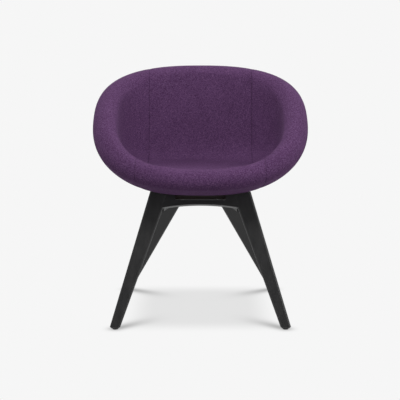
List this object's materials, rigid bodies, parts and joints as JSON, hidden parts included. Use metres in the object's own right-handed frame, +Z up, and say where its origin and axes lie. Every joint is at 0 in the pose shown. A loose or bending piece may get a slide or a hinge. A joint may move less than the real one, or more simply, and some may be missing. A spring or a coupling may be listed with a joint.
{
  "type": "scoop chair",
  "caption": "Low upholstered tub chair with a scooped one-piece shell sloping from a high back to a low front, on splayed tapered wooden legs.",
  "frame": {"origin": "centre of the overall box, on the floor", "axes": "+Z up, +Y towards the back of the chair, +X to the right in a front view"},
  "size_m": [0.6444, 0.5298, 0.7301],
  "materials": {
    "cover_fabric": "melange wool felt, matt",
    "lining_cloth": "thin black non-woven cloth",
    "foam": null,
    "frame_steel": "black paint, satin",
    "zinc_steel": "zinc plated",
    "plywood": "clear lacquer on birch plywood",
    "dowel_wood": "plain beech",
    "stained_wood": "black stain and lacquer, satin",
    "glide_plastic": "black nylon"
  },
  "bodies": {
    "root": {"back_left_rib": "frame_steel", "back_right_rib": "frame_steel", "cover_centre": "cover_fabric", "cover_left": "cover_fabric", "cover_right": "cover_fabric", "foam_body": "foam", "foot_glides": "glide_plastic", "front_left_leg": "stained_wood", "front_left_rib": "frame_steel", "front_rail": "stained_wood", "front_right_leg": "stained_wood", "front_right_rib": "frame_steel", "glide_nails": "zinc_steel", "left_arm_rib": "frame_steel", "left_rail": "stained_wood", "mounting_plate": "frame_steel", "panel_screws": "zinc_steel", "rail_dowels": "dowel_wood", "rear_left_leg": "stained_wood", "rear_rail": "stained_wood", "rear_right_leg": "stained_wood", "right_arm_rib": "frame_steel", "right_rail": "stained_wood", "rim_hoop": "frame_steel", "seat_panel": "plywood", "shell_bolts": "zinc_steel", "shell_nuts": "zinc_steel", "shell_washers": "zinc_steel", "underside_cloth": "lining_cloth"}
  },
  "joints": []
}
